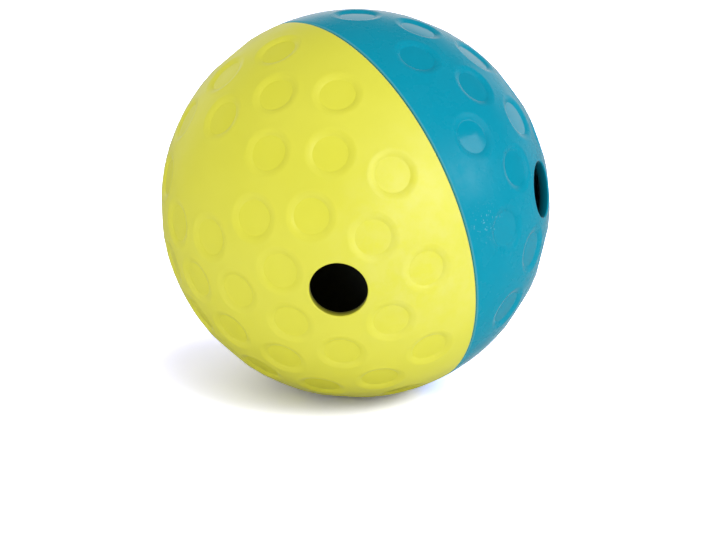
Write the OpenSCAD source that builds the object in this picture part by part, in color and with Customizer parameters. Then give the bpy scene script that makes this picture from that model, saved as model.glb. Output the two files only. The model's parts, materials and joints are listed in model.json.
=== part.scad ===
// Treat dispensing ball: two alike dimpled half shells push onto a keyed ring, with a plate maze inside.
// Lengths are in millimetres and angles in degrees.
// Each piece is drawn about the ball's own axis, the teal half above z = 0 and its port towards +X.
// The pieces of the lime half are the same ones turned over about the X axis.
// The whole ball is then tipped so that it stands on one dimple, with its centre at the origin.

/* [Ball] */
// Outside diameter of the ball
ball_d = 125; // [110:1:150]
// Thickness of each half's wall
wall = 3; // [2.4:0.1:3.6]
// Width of the open line between the two rims
seam_gap = 0.2; // [0.1:0.1:0.6]
// Chamfer round each rim's outer edge
rim_edge = 0.6; // [0.2:0.1:1]

/* [Ports] */
// Diameter of the round port in each half
port_d = 18; // [14:0.5:21]
// Angle from the pole to the port, and to the row of dimples that it interrupts
port_row_angle = 49.6; // [48.6:0.1:50.6]

/* [Dimples] */
// Outside diameter of a dimple
dimple_d = 16; // [12:0.5:17]
// Diameter of a dimple's flat floor
dimple_floor_d = 11.6; // [8:0.2:11.8]
// Depth of a dimple's floor below the full sphere
dimple_depth = 1.05; // [0.8:0.05:1.3]
// Angle from the pole to the row nearest the rim, one dimple of which the ball rests on
rest_row_angle = 75.5; // [74:0.5:76]
// Angle from the pole to the second row from the rim
second_row_angle = 63.3; // [62.8:0.1:63.8]
// Angle from the pole to the row that has a bare panel in it
panel_row_angle = 34.2; // [33.7:0.1:34.7]
// How far that row is turned back from midway between its neighbours
panel_row_turn = 2; // [1:0.5:2.5]
// Angle from the pole to the innermost row
inner_row_angle = 17.6; // [17.3:0.1:18]

/* [Joining ring] */
// Height of the ring, half of it in each rim
ring_h = 16; // [12:1:18]
// Thickness of the ring
ring_t = 2.4; // [2:0.1:3]
// Radial clearance between the ring and the rims
ring_fit = 0.1; // [0.05:0.01:0.2]
// Thickness of the rims where they grip the ring
rim_t = 5; // [4.6:0.1:5.6]
// Reach of the ledge that the ring's end meets
ledge_w = 2; // [1.4:0.1:2.4]
// Thickness of that ledge
ledge_t = 2; // [1.5:0.1:3]
// Width of each key on the ring
key_w = 4; // [3:0.5:6]
// Height of each key above the ring
key_h = 1.2; // [0.8:0.1:1.5]
// Clearance round each key in its keyway
key_gap = 0.15; // [0.1:0.05:0.3]

/* [Maze] */
// Thickness of the middle plate, the baffles and the vanes
plate_t = 2.5; // [2:0.1:3]
// Distance from the seam to the middle of each baffle
baffle_at = 26; // [23:0.5:27]
// Clearance between a baffle's edge and the shell
baffle_gap = 0.4; // [0.3:0.1:1]
// Diameter of the window in each plate
window_d = 26; // [22:0.5:28]
// Width of plate left outside each window
window_web = 5.5; // [4:0.5:8]
// Width of the lip in the ring that the middle plate lies on
lip_w = 2; // [1.5:0.1:2.5]
// Thickness of that lip
lip_t = 2; // [1.5:0.1:2.5]

/* [Post] */
// Diameter of the post
post_d = 8; // [6:0.5:10]
// Radial clearance between the post and what it carries
post_fit = 0.05; // [0.03:0.01:0.1]
// Wall of the tubes on the post
tube_t = 2.5; // [2:0.1:3.5]
// Thickness of each sleeve's closed end
sleeve_end_t = 3; // [2:0.5:5]
// Clearance between a sleeve and its socket
socket_gap = 0.3; // [0.2:0.05:0.4]
// Wall of each pole socket
socket_t = 2; // [1.5:0.1:3]
// Height of each pole socket below the inside of the dome
socket_h = 7; // [5:0.5:10]

/* [Hidden] */

// How far a cut runs past what it cuts
overrun = 0.5;
// Dimples round each of the four wide rows and round the innermost one
row_count = 12;
inner_row_count = 6;
// Places in the panel row that carry no dimple
panel_places = [2, 3];
// Start of a row that is set half a step round from its neighbours
half_step = 1 / 2;
// Start of the row with the panel, in steps
panel_row_start = half_step - panel_row_turn * row_count / 360;

lime = "#d9dc3c";
teal = "#0098b8";
charcoal = "#2b2d30";

ball_r = ball_d / 2;
inner_r = ball_r - wall;
mid_wall_r = ball_r - wall / 2;
rim_z = seam_gap / 2;
rest_tilt = 90 - rest_row_angle;

port_r = port_d / 2;
dimple_r = dimple_d / 2;
dimple_floor_r = dimple_floor_d / 2;
dimple_floor_z = ball_r - dimple_depth;
dimple_lip_z = chord(ball_r, dimple_r);
dimple_flare = (dimple_r - dimple_floor_r) / (dimple_lip_z - dimple_floor_z);

grip_r = ball_r - rim_t;
ring_r = grip_r - ring_fit;
ring_bore_r = ring_r - ring_t;
ledge_z = ring_h / 2;
ledge_r = grip_r - ledge_w;
ledge_top_z = ledge_z + ledge_t;
rim_taper_z = ledge_top_z + 2 * ledge_w;
keyway_r = ring_r + key_h + key_gap;
lip_r = ring_bore_r - lip_w;

plate_top = plate_t / 2;
baffle_low = baffle_at - plate_top;
baffle_top = baffle_at + plate_top;
baffle_r = chord(inner_r, baffle_top) - baffle_gap;
vane_r = min(baffle_r, lip_r) - baffle_gap;
window_at = baffle_r - window_web - window_d / 2;

post_r = post_d / 2;
post_bore_r = post_r + post_fit;
tube_r = post_bore_r + tube_t;
socket_bore_r = tube_r + socket_gap;
socket_r = socket_bore_r + socket_t;
sleeve_end = chord(inner_r, tube_r) - socket_gap;
post_end = sleeve_end - sleeve_end_t;
socket_low = inner_r - socket_h;

$fn = 96;
dimple_fn = 48;
shell_fn = 180;

// Half the chord that a circle of radius r has at distance d from its centre
function chord(r, d) = sqrt(r * r - d * d);

// Tips the ball from its own axis to the pose in which it stands
module stand() {
    rotate([0, 90 - rest_tilt, 0]) rotate([0, 0, -90]) children();
}

// Turns a piece of the teal half into its twin in the lime half
module turn_over() {
    rotate([180, 0, 0]) children();
}

// Points a piece drawn along +Z at an angle from the pole and an angle round it
module aim(angle, round) {
    rotate([0, 0, round]) rotate([0, angle, 0]) children();
}

module tube(r_out, r_in, low, top) {
    difference() {
        translate([0, 0, low]) cylinder(r = r_out, h = top - low);
        translate([0, 0, low - overrun]) cylinder(r = r_in, h = top - low + 2 * overrun);
    }
}

// Half shell

module dome() {
    difference() {
        sphere(r = ball_r, $fn = shell_fn);
        sphere(r = inner_r, $fn = shell_fn);
        translate([-ball_d, -ball_d, rim_z - 2 * ball_d]) cube(2 * ball_d);
    }
}

// Thicker rim with the bore that grips the ring, the ledge and a taper back to the dome
module rim_band() {
    rotate_extrude($fn = shell_fn) polygon([
        [grip_r, rim_z],
        [mid_wall_r, rim_z],
        [chord(mid_wall_r, rim_taper_z), rim_taper_z],
        [ledge_r, ledge_top_z],
        [ledge_r, ledge_z],
        [grip_r, ledge_z]
    ]);
}

module pole_socket() {
    tube(socket_r, socket_bore_r, socket_low, mid_wall_r);
}

// Cuts a sloping wall down to a flat floor
module dimple_cut() {
    top = ball_r + overrun;
    translate([0, 0, dimple_floor_z]) cylinder(
        r1 = dimple_floor_r,
        r2 = dimple_r + dimple_flare * (top - dimple_lip_z),
        h = top - dimple_floor_z,
        $fn = dimple_fn
    );
}

// One row of dimples, starting at first steps round and leaving out the places in skip
module dimple_row(angle, count, first, skip) {
    for (i = [0 : count - 1])
        if (len(search(i, skip)) == 0)
            aim(angle, (i + first) * 360 / count) dimple_cut();
}

module dimple_cuts() {
    dimple_row(rest_row_angle, row_count, 0, []);
    dimple_row(second_row_angle, row_count, half_step, []);
    dimple_row(port_row_angle, row_count, 0, [0]);
    dimple_row(panel_row_angle, row_count, panel_row_start, panel_places);
    dimple_row(inner_row_angle, inner_row_count, 0, []);
    dimple_cut();
}

module port_cut() {
    low = chord(inner_r, port_r) - wall;
    aim(port_row_angle, 0)
        translate([0, 0, low]) cylinder(r = port_r, h = ball_r + overrun - low);
}

module rim_edge_cut() {
    reach = rim_edge + overrun;
    rotate_extrude($fn = shell_fn) polygon([
        [ball_r - reach, rim_z - overrun],
        [ball_r + overrun, rim_z - overrun],
        [ball_r + overrun, rim_z + reach]
    ]);
}

module keyway_cuts() {
    width = key_w + 2 * key_gap;
    for (side = [0, 180])
        rotate([0, 0, side])
            translate([ledge_r, -width / 2, rim_z - overrun])
                cube([keyway_r - ledge_r, width, ledge_z - rim_z + overrun]);
}

module half_shell() {
    difference() {
        union() {
            dome();
            rim_band();
            pole_socket();
        }
        port_cut();
        dimple_cuts();
        rim_edge_cut();
        keyway_cuts();
    }
}

module lime_shell() {
    color(lime) stand() turn_over() half_shell();
}

module teal_shell() {
    color(teal) stand() half_shell();
}

// Joining ring and middle plate

module ring_body() {
    rotate_extrude($fn = shell_fn) polygon([
        [ring_r, -ledge_z],
        [ring_r, ledge_z],
        [ring_bore_r, ledge_z],
        [ring_bore_r, -plate_top],
        [lip_r, -plate_top],
        [lip_r, -plate_top - lip_t],
        [ring_bore_r, -plate_top - lip_t],
        [ring_bore_r, -ledge_z]
    ]);
}

module ring_keys() {
    foot_r = ring_r - ring_t / 2;
    for (side = [0, 180])
        rotate([0, 0, side])
            translate([foot_r, -key_w / 2, -ledge_z])
                cube([ring_r + key_h - foot_r, key_w, ring_h]);
}

module joining_ring() {
    color(charcoal) stand() {
        ring_body();
        ring_keys();
    }
}

// A round plate on the post with one window
module windowed_plate(r, middle, window_side) {
    low = middle - plate_top;
    difference() {
        tube(r, post_bore_r, low, low + plate_t);
        rotate([0, 0, window_side])
            translate([window_at, 0, low - overrun])
                cylinder(d = window_d, h = plate_t + 2 * overrun);
    }
}

module middle_plate() {
    color(charcoal) stand() windowed_plate(ring_bore_r - post_fit, 0, 0);
}

// Post and what it carries in each half

module centre_post() {
    color(charcoal) stand()
        translate([0, 0, -post_end]) cylinder(r = post_r, h = 2 * post_end);
}

module baffle() {
    windowed_plate(baffle_r, baffle_at, 180);
}

module spacer() {
    tube(tube_r, post_bore_r, plate_top, baffle_low);
}

// Wall across the inner chamber, from the spacer out to the lip
module vane() {
    start = tube_r + post_fit;
    rotate([0, 0, 90])
        translate([start, -plate_t / 2, plate_top])
            cube([vane_r - start, plate_t, baffle_low - plate_top]);
}

// Blind tube that closes on the post's end and holds the baffle down
module sleeve() {
    difference() {
        translate([0, 0, baffle_top]) cylinder(r = tube_r, h = sleeve_end - baffle_top);
        translate([0, 0, baffle_top - overrun])
            cylinder(r = post_bore_r, h = post_end - baffle_top + overrun);
    }
}

module lime_baffle() {
    color(charcoal) stand() turn_over() baffle();
}

module teal_baffle() {
    color(charcoal) stand() baffle();
}

module lime_spacer() {
    color(charcoal) stand() turn_over() spacer();
}

module teal_spacer() {
    color(charcoal) stand() spacer();
}

module lime_vane() {
    color(charcoal) stand() turn_over() vane();
}

module teal_vane() {
    color(charcoal) stand() vane();
}

module lime_sleeve() {
    color(charcoal) stand() turn_over() sleeve();
}

module teal_sleeve() {
    color(charcoal) stand() sleeve();
}

lime_shell();
teal_shell();
joining_ring();
middle_plate();
centre_post();
lime_baffle();
teal_baffle();
lime_spacer();
teal_spacer();
lime_vane();
teal_vane();
lime_sleeve();
teal_sleeve();
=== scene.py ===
"""Looks of the dimpled treat ball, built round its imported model.

Two alike moulded half shells push onto a keyed ring that carries a maze of plates
on a post. Every mesh is worked out in the ball's own axes, with one half's pole at
+Z and its port towards +X, and is then turned into the row frame. Lengths are metres.
"""

import json
import logging
import math
from collections.abc import Callable, Iterable, Sequence
from dataclasses import dataclass, field
from enum import Enum
from functools import cached_property

import bmesh
import bpy
import numpy as np
from mathutils import Matrix, Vector
from mathutils.geometry import delaunay_2d_cdt


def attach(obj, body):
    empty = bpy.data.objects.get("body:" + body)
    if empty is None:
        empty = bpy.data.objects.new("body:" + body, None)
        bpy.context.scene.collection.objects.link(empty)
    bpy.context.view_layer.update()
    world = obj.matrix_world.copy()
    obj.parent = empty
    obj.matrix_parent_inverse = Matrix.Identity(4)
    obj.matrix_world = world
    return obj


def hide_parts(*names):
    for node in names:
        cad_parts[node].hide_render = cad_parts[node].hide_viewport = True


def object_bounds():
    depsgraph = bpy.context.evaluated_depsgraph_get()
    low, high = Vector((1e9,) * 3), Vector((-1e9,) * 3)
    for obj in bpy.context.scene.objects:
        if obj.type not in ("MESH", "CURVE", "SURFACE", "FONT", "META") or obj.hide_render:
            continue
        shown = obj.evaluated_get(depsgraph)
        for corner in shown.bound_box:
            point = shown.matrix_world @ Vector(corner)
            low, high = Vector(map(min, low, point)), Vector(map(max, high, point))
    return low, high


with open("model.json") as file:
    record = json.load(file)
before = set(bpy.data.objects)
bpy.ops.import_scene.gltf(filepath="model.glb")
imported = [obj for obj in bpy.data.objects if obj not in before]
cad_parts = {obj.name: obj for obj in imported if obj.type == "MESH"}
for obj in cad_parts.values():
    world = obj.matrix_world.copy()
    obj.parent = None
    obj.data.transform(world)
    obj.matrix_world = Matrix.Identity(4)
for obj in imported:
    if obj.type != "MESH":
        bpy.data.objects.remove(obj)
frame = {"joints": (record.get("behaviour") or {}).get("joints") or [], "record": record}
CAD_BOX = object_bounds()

LOG = logging.getLogger("treat_ball")
MM = 0.001
Colour = tuple[float, float, float]
Place = tuple[float, float, float]
Span = tuple[float, float]
Outline = list[Span]
Socket = bpy.types.NodeSocket
# Share of the rim's pale edge, which is rubbed wear and painted highlight.
EDGE_WEAR_AND_HIGHLIGHT = "edge_wear_and_highlight_share"
INSIDE_SHARE = "inside_share"
# Share of painted shade on the points of a port, darkening its bore inwards.
PORT_SHADE_SHARE = "port_painted_shade_share"
POLE = np.array([0.0, 0.0, 1.0])
# Where the middle point of a rounded corner lies, as a share of the rounding.
CORNER_SHARE = 0.3
# Two degrees of a thirty degree step, by which the row with the bare panel is turned back.
PANEL_TURN = 2 / 30


class Half(Enum):
    """The two halves of the ball."""

    LIME = "lime"
    TEAL = "teal"

    @property
    def body(self) -> str:
        """Name of the CAD body that the half's shell rides on."""
        return f"{self.value}_half"


class Side(Enum):
    """Where the window of a plate lies, seen from the post."""

    PORT = 1.0
    FAR = -1.0


def unit(vectors: np.ndarray) -> np.ndarray:
    """Scales one vector, or rows of them, to length one."""
    return vectors / np.linalg.norm(vectors, axis=-1, keepdims=True)


def half_chord(radius: float, distance: float) -> float:
    """Gives half the chord of a circle at a distance from its centre."""
    return math.sqrt(radius * radius - distance * distance)


def around(count: int, shift: float = 0.0) -> np.ndarray:
    """Spreads angles evenly round a circle, turned on by a shift given in steps."""
    return (np.arange(count) + shift) * math.tau / count


def circle(radius: float | np.ndarray, rounds: np.ndarray, height: float) -> np.ndarray:
    """Gives a ring of points about Z, with one radius for all or one for each."""
    heights = np.full(len(rounds), height)
    return np.column_stack([radius * np.cos(rounds), radius * np.sin(rounds), heights])


def rounded_corner(radius: float, level: float, across: float, along: float) -> Outline:
    """Gives the three points of a small rounded corner.

    Args:
        radius: Radius of the sharp corner.
        level: Height of the sharp corner.
        across: How far from it the rounding begins, across the axis.
        along: How far from it the rounding ends, along the axis.

    Returns:
        Radius and height of each point.
    """
    return [
        (radius + across, level),
        (radius + CORNER_SHARE * across, level + CORNER_SHARE * along),
        (radius, level + along),
    ]


def angles_between(way: np.ndarray, target: np.ndarray) -> np.ndarray:
    """Gives each row's angle to one unit vector, or to each row of them."""
    return np.arccos(np.clip(way @ target.T, -1.0, 1.0))


def directions(angles: float | np.ndarray, rounds: float | np.ndarray) -> np.ndarray:
    """Gives unit vectors from angles.

    Args:
        angles: Angles from the pole, in radians.
        rounds: Angles round the pole from +X, in radians.

    Returns:
        One unit vector a row.
    """
    angles, rounds = np.broadcast_arrays(angles, rounds)
    across = np.sin(angles)
    return np.stack(
        [across * np.cos(rounds), across * np.sin(rounds), np.cos(angles)], axis=-1
    )


def aimed(axis: np.ndarray) -> np.ndarray:
    """Makes a turned set of axes whose Z is a given direction.

    Args:
        axis: Unit vector that the new Z follows.

    Returns:
        A 3 by 3 array with the new axes as its columns.
    """
    too_near_y = abs(axis[1]) >= 0.9
    helper = np.array([1.0, 0.0, 0.0] if too_near_y else [0.0, 1.0, 0.0])
    across = unit(np.cross(helper, axis))
    return np.column_stack([across, np.cross(axis, across), axis])


def arc(
    centre: tuple[float, float], radius: float, start: float, end: float, steps: int
) -> Outline:
    """Gives points along an arc.

    Args:
        centre: Centre of the arc.
        radius: Radius of the arc.
        start: Angle of the first point, in radians.
        end: Angle of the last point, in radians.
        steps: Number of equal steps between them.

    Returns:
        The points, both ends among them.
    """
    turns = np.linspace(start, end, steps + 1)
    return [
        (centre[0] + radius * math.cos(t), centre[1] + radius * math.sin(t)) for t in turns
    ]


def rounded(corners: Outline, radius: float, steps: int = 3) -> Outline:
    """Rounds every corner of a closed outline.

    Args:
        corners: The outline's corners in order.
        radius: Radius of the rounding, which short sides make smaller.
        steps: Facets along each rounding.

    Returns:
        The rounded outline.
    """
    made: Outline = []
    count = len(corners)
    for i in range(count):
        here = np.array(corners[i])
        back = np.array(corners[i - 1]) - here
        ahead = np.array(corners[(i + 1) % count]) - here
        longest = 0.9 * min(np.linalg.norm(back), np.linalg.norm(ahead)) / 2
        back, ahead = unit(back), unit(ahead)
        opening = math.acos(float(np.clip(back @ ahead, -1.0, 1.0))) / 2
        inset = min(radius / math.tan(opening), longest)
        start, end = here + back * inset, here + ahead * inset
        for k in range(steps + 1):
            t = k / steps
            bend = (1 - t) ** 2 * start + 2 * t * (1 - t) * here + t * t * end
            made.append((float(bend[0]), float(bend[1])))
    return made


class Skin:
    """Points and faces gathered into one mesh."""

    def __init__(self) -> None:
        """Starts an empty skin."""
        self.blocks: list[np.ndarray] = []
        self.faces: list[tuple[int, ...]] = []
        self.shares: dict[str, list[np.ndarray]] = {
            EDGE_WEAR_AND_HIGHLIGHT: [],
            INSIDE_SHARE: [],
            PORT_SHADE_SHARE: [],
        }
        self.count = 0

    def add(
        self, points: np.ndarray, edge: float = 0.0, inside: float = 0.0, bore: float = 0.0
    ) -> np.ndarray:
        """Adds points.

        Args:
            points: One point a row.
            edge: How far the points belong to a rubbed edge, pale with wear and painted highlight.
            inside: How far the points belong to the inside of a shell.
            bore: How far they lie in a port, which sets how much painted shade they take.

        Returns:
            The points' numbers in the mesh.
        """
        points = np.atleast_2d(points)
        self.blocks.append(points)
        self.shares[EDGE_WEAR_AND_HIGHLIGHT].append(np.full(len(points), edge))
        self.shares[INSIDE_SHARE].append(np.full(len(points), inside))
        self.shares[PORT_SHADE_SHARE].append(np.full(len(points), bore))
        self.count += len(points)
        return np.arange(self.count - len(points), self.count)

    def bridge(self, first: np.ndarray, second: np.ndarray) -> None:
        """Joins two closed rings of equal length with quads.

        Args:
            first: Numbers of the first ring's points.
            second: Numbers of the second ring's points.
        """
        after_first, after_second = np.roll(first, -1), np.roll(second, -1)
        quads = np.stack([first, after_first, after_second, second], axis=-1)
        self.faces.extend(map(tuple, quads.tolist()))

    def loft(self, rings: Sequence[np.ndarray]) -> None:
        """Joins each ring of point numbers to the next."""
        for first, second in zip(rings, rings[1:]):
            self.bridge(first, second)

    def close(self, ring: np.ndarray, height: float, inside: float = 0.0) -> None:
        """Closes a ring of point numbers with triangles that meet on Z at a height."""
        tip = int(self.add(POLE * height, inside=inside)[0])
        self.faces.extend((int(a), int(b), tip) for a, b in zip(ring, np.roll(ring, -1)))

    def fill(
        self,
        flat: np.ndarray,
        numbers: np.ndarray,
        is_open: Callable[[np.ndarray], np.ndarray],
    ) -> None:
        """Joins points with triangles, leaving the openings open.

        Args:
            flat: Where each point lies on a plane.
            numbers: The points' numbers in the mesh.
            is_open: Says of the triangles' corners, by row, which lie in an opening.
        """
        whole_hull, merge_within = 0, 1e-7
        found = delaunay_2d_cdt([Vector(p) for p in flat], [], [], whole_hull, merge_within)
        corners, sources = found[2], found[3]
        triangles = np.array([ids[0] for ids in sources])[np.array(corners)]
        kept = triangles[~is_open(triangles)]
        self.faces.extend(map(tuple, numbers[kept].tolist()))

    def mesh(self, name: str, turn: np.ndarray) -> bpy.types.Object:
        """Makes the mesh object.

        Args:
            name: Name of the object.
            turn: The 3 by 3 turn from the skin's axes to the row frame.

        Returns:
            The object, smooth shaded, with its faces all turned outwards.
        """
        points = np.concatenate(self.blocks) @ turn.T
        data = bpy.data.meshes.new(name)
        data.from_pydata(points.tolist(), [], self.faces)
        for share, blocks in self.shares.items():
            attribute = data.attributes.new(share, "FLOAT", "POINT")
            attribute.data.foreach_set("value", np.concatenate(blocks).astype(np.float32))
        made = bmesh.new()
        made.from_mesh(data)
        bmesh.ops.recalc_face_normals(made, faces=made.faces)
        made.to_mesh(data)
        made.free()
        data.shade_smooth()
        piece = bpy.data.objects.new(name, data)
        bpy.context.scene.collection.objects.link(piece)
        return piece


def weighted(piece: bpy.types.Object) -> None:
    """Keeps a piece's flat faces flat beside its rounded edges."""
    modifier = piece.modifiers.new("even_shading", "WEIGHTED_NORMAL")
    modifier.weight = 100


@dataclass(frozen=True)
class BallFrame:
    """The ball's own axes in the row frame.

    Attributes:
        axis: Unit vector from the lime pole to the teal pole.
        front: Unit vector midway between the two ports.
    """

    axis: np.ndarray
    front: np.ndarray

    @classmethod
    def from_record(cls) -> "BallFrame":
        """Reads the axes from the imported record.

        Returns:
            The frame of the ball at rest.
        """
        ports = [m["axis"] for m in frame["record"]["mounts"] if m["kind"] == "bore"]
        return cls(
            axis=unit(np.array(frame["joints"][0]["axis"], float)),
            front=unit(np.sum(np.array(ports, float), axis=0)),
        )

    def turn(self, half: Half) -> np.ndarray:
        """Gives the turn from one half's own axes to the row frame.

        Args:
            half: The half, whose pole is its own +Z.

        Returns:
            A 3 by 3 array with the half's axes as its columns.
        """
        side = np.cross(self.axis, self.front)
        if half is Half.TEAL:
            return np.column_stack([self.front, side, self.axis])
        return np.column_stack([self.front, -side, -self.axis])


class Graph:
    """The nodes of one material or of the world."""

    def __init__(self, owner: bpy.types.Material | bpy.types.World) -> None:
        """Starts a graph with only its output.

        Args:
            owner: The material or world that the nodes dress.
        """
        self.owner = owner
        owner.use_nodes = True
        self.tree = owner.node_tree
        self.tree.nodes.clear()
        kind = "World" if isinstance(owner, bpy.types.World) else "Material"
        self.output = self.tree.nodes.new("ShaderNodeOutput" + kind)

    @cached_property
    def at(self) -> Socket:
        """Socket of a piece's own coordinates, at rest those of the row frame."""
        return self.add("TexCoord").outputs["Object"]

    def shown(self, shader: bpy.types.Node) -> bpy.types.Material | bpy.types.World:
        """Joins the shader to the output and gives the material or world."""
        self.tree.links.new(shader.outputs[0], self.output.inputs[0])
        return self.owner

    def add(
        self,
        kind: str,
        inputs: dict[str | int, object] | None = None,
        **settings: object,
    ) -> bpy.types.Node:
        """Adds a node.

        Args:
            kind: The node's type, without its ShaderNode prefix.
            inputs: The value of each input, or the socket that feeds it.
            **settings: The node's own properties.

        Returns:
            The node.
        """
        node = self.tree.nodes.new("ShaderNode" + kind)
        for key, value in settings.items():
            setattr(node, key, value)
        for key, value in (inputs or {}).items():
            if isinstance(value, Socket):
                self.tree.links.new(value, node.inputs[key])
            else:
                node.inputs[key].default_value = value
        return node

    def noise(self, scale: float, detail: float = 2.0, rough: float = 0.5) -> Socket:
        """Gives a noise's value, by features a metre, octaves and their strength."""
        inputs = {"Vector": self.at, "Scale": scale, "Detail": detail, "Roughness": rough}
        return self.add("TexNoise", inputs).outputs["Fac"]

    def ramp(
        self,
        value: Socket,
        low: float,
        high: float,
        to_low: float = 0.0,
        to_high: float = 1.0,
    ) -> Socket:
        """Maps a span of values onto another, smoothly and held at the ends.

        Args:
            value: Socket with the value.
            low: Value that gives to_low.
            high: Value that gives to_high.
            to_low: Lower result.
            to_high: Upper result.

        Returns:
            The socket of the result.
        """
        inputs = {0: value, 1: low, 2: high, 3: to_low, 4: to_high}
        return self.add("MapRange", inputs, interpolation_type="SMOOTHSTEP").outputs[0]

    def times(self, first: Socket, second: Socket | float) -> Socket:
        """Multiplies two values, held between 0 and 1."""
        return self.maths("MULTIPLY", first, second)

    def maths(self, operation: str, first: Socket, second: Socket | float) -> Socket:
        """Combines two values, held between 0 and 1.

        Args:
            operation: Name of Blender's operation.
            first: Socket with the first value.
            second: The second value or its socket.

        Returns:
            The socket of the result.
        """
        inputs = {0: first, 1: second}
        return self.add("Math", inputs, operation=operation, use_clamp=True).outputs[0]

    def blend(self, share: Socket, first: Socket | Colour, second: Socket | Colour) -> Socket:
        """Mixes two colours.

        Args:
            share: Socket with the second colour's share.
            first: First colour or its socket.
            second: Second colour or its socket.

        Returns:
            The socket of the mixed colour.
        """
        inputs: dict[str | int, object] = {"Factor": share}
        for place, colour in ((6, first), (7, second)):
            is_socket = isinstance(colour, Socket)
            inputs[place] = colour if is_socket else (*colour, 1.0)
        return self.add("Mix", inputs, data_type="RGBA").outputs[2]

    def bumped(
        self,
        height: Socket,
        depth: float,
        strength: float = 1.0,
        normal: Socket | None = None,
    ) -> Socket:
        """Adds a bump.

        Args:
            height: Socket with the height, from 0 to 1.
            depth: Height of a full step, in metres.
            strength: Strength of the bump.
            normal: Socket of a normal that the bump adds to.

        Returns:
            The socket of the bumped normal.
        """
        inputs = {"Height": height, "Distance": depth, "Strength": strength}
        if normal is not None:
            inputs["Normal"] = normal
        return self.add("Bump", inputs).outputs["Normal"]


@dataclass(frozen=True)
class ShellFinish:
    """Satin plastic of a half shell, whose dimples have polished floors, with a pale patch and pale
    rim edges of painted highlight, and painted shade deep in the port.

    Attributes:
        name: What the plastic's colour is called.
        colour: Colour of the plastic.
        shade: Colour of its slightly deeper clouds.
        highlight_and_dust_colour: Colour of the painted highlights, of the pale dust specks and of
            the pale rim edges.
        port_shade_colour: Colour of the painted shade deep in the port.
        highlight_patch: How strongly the pale patch of painted highlight shows.
        highlight_patch_at: Where the patch of painted highlight lies, in the row frame.
        specular: Strength of the skin's gloss.
        polished_specular: Strength of the floors' gloss.
        sheen: Strength of the paleness towards the ball's outline.
        specks_at: Where fine pale specks lie; at the ball's centre they are out of sight.
        sheen_roughness: How far in from the outline the paleness reaches.
        roughness: Roughness of the skin.
        polished_roughness: Roughness of the dimples' floors.
        smear_span: Noise values between which smears change the roughness.
        skin_smear: The least and the most that smears add on the skin.
        floor_smear: The least and the most that they add on the floors.
        inside_dulling: How much rougher the inside is.
        edge_wear_and_highlight: How strongly the rim's pale edge shows, as rubbed wear and painted
            highlight.
        port_shade_strength: How much of the painted shade's colour the deep port takes.
        highlight_patch_reach: How far the patch of painted highlight reaches.
        speck_reach: How far the specks reach.
        near_share: Share of such a reach within which marks are at full strength.
        smoke_scale: Streaks a metre in the patch of painted highlight.
        smoke_span: Noise values between which the streaks show.
        speck_scale: Specks a metre.
        speck_span: Noise values between which the specks show.
        speck_strength: How much more strongly than the patch they show.
        cloud_scale: Clouds a metre.
        cloud_span: Noise values between which the clouds deepen.
        wave_scale: Shallow waves a metre.
        wave_depth: Height of the waves.
        wave_strength: Strength of the waves beside the grain.
        grain_scale: Grains a metre on the skin.
        grain_depth: Height of the grain.
        floor_grain: Grains on the floors as a share of those on the skin.
        floor_relief: Strength of the waves and the grain on the floors.
        ior: Index of refraction.
    """

    name: str
    colour: Colour
    shade: Colour
    highlight_and_dust_colour: Colour
    port_shade_colour: Colour
    highlight_patch: float
    highlight_patch_at: Place
    specular: float
    polished_specular: float
    sheen: float
    specks_at: Place = (0.0, 0.0, 0.0)
    sheen_roughness: float = 0.3
    roughness: float = 0.5
    polished_roughness: float = 0.16
    smear_span: Span = (0.35, 0.7)
    skin_smear: Span = (-0.04, 0.05)
    floor_smear: Span = (-0.03, 0.05)
    inside_dulling: float = 0.12
    edge_wear_and_highlight: float = 0.25
    port_shade_strength: float = 0.88
    highlight_patch_reach: float = 11 * MM
    speck_reach: float = 9 * MM
    near_share: float = 0.3
    smoke_scale: float = 210.0
    smoke_span: Span = (0.28, 0.76)
    speck_scale: float = 1300.0
    speck_span: Span = (0.62, 0.71)
    speck_strength: float = 5.5
    cloud_scale: float = 28.0
    cloud_span: Span = (0.3, 0.7)
    wave_scale: float = 120.0
    wave_depth: float = 0.05 * MM
    wave_strength: float = 0.6
    grain_scale: float = 2600.0
    grain_depth: float = 0.012 * MM
    floor_grain: float = 0.5
    floor_relief: float = 0.2
    ior: float = 1.46

    def skin(self) -> bpy.types.Material:
        """Builds the finish of the skin between the dimples and of the inside.

        Returns:
            The satin material.
        """
        g = Graph(bpy.data.materials.new(f"{self.name}_satin_plastic"))
        inside, edge, bore = (
            g.add("Attribute", attribute_name=share).outputs["Fac"]
            for share in (INSIDE_SHARE, EDGE_WEAR_AND_HIGHLIGHT, PORT_SHADE_SHARE)
        )
        # The painted highlight patch, the dust specks and the pale rim edge all pale the colour.
        highlights_and_specks = g.maths("ADD", self._highlight_and_specks(g), g.times(edge, self.edge_wear_and_highlight))
        worn = g.blend(highlights_and_specks, self._plastic(g), self.highlight_and_dust_colour)
        # The port's bore is darkened inwards towards near black: painted shade.
        colour = g.blend(g.times(bore, self.port_shade_strength), worn, self.port_shade_colour)
        satin = self._smeared(g, self.roughness, self.skin_smear)
        inner = self.roughness + self.inside_dulling
        dull = g.add("Mix", {0: inside, 2: satin, 3: inner}).outputs[0]
        relief = self._relief(g, self.grain_scale)
        shader = g.add(
            "BsdfPrincipled",
            {
                "Base Color": colour,
                "Roughness": dull,
                "Normal": relief,
                "IOR": self.ior,
                "Specular IOR Level": self.specular,
                "Sheen Weight": self.sheen,
                "Sheen Roughness": self.sheen_roughness,
            },
        )
        return g.shown(shader)

    def polished(self) -> bpy.types.Material:
        """Builds the finish of the dimples' floors.

        Returns:
            The polished material.
        """
        g = Graph(bpy.data.materials.new(f"{self.name}_polished_plastic"))
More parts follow.
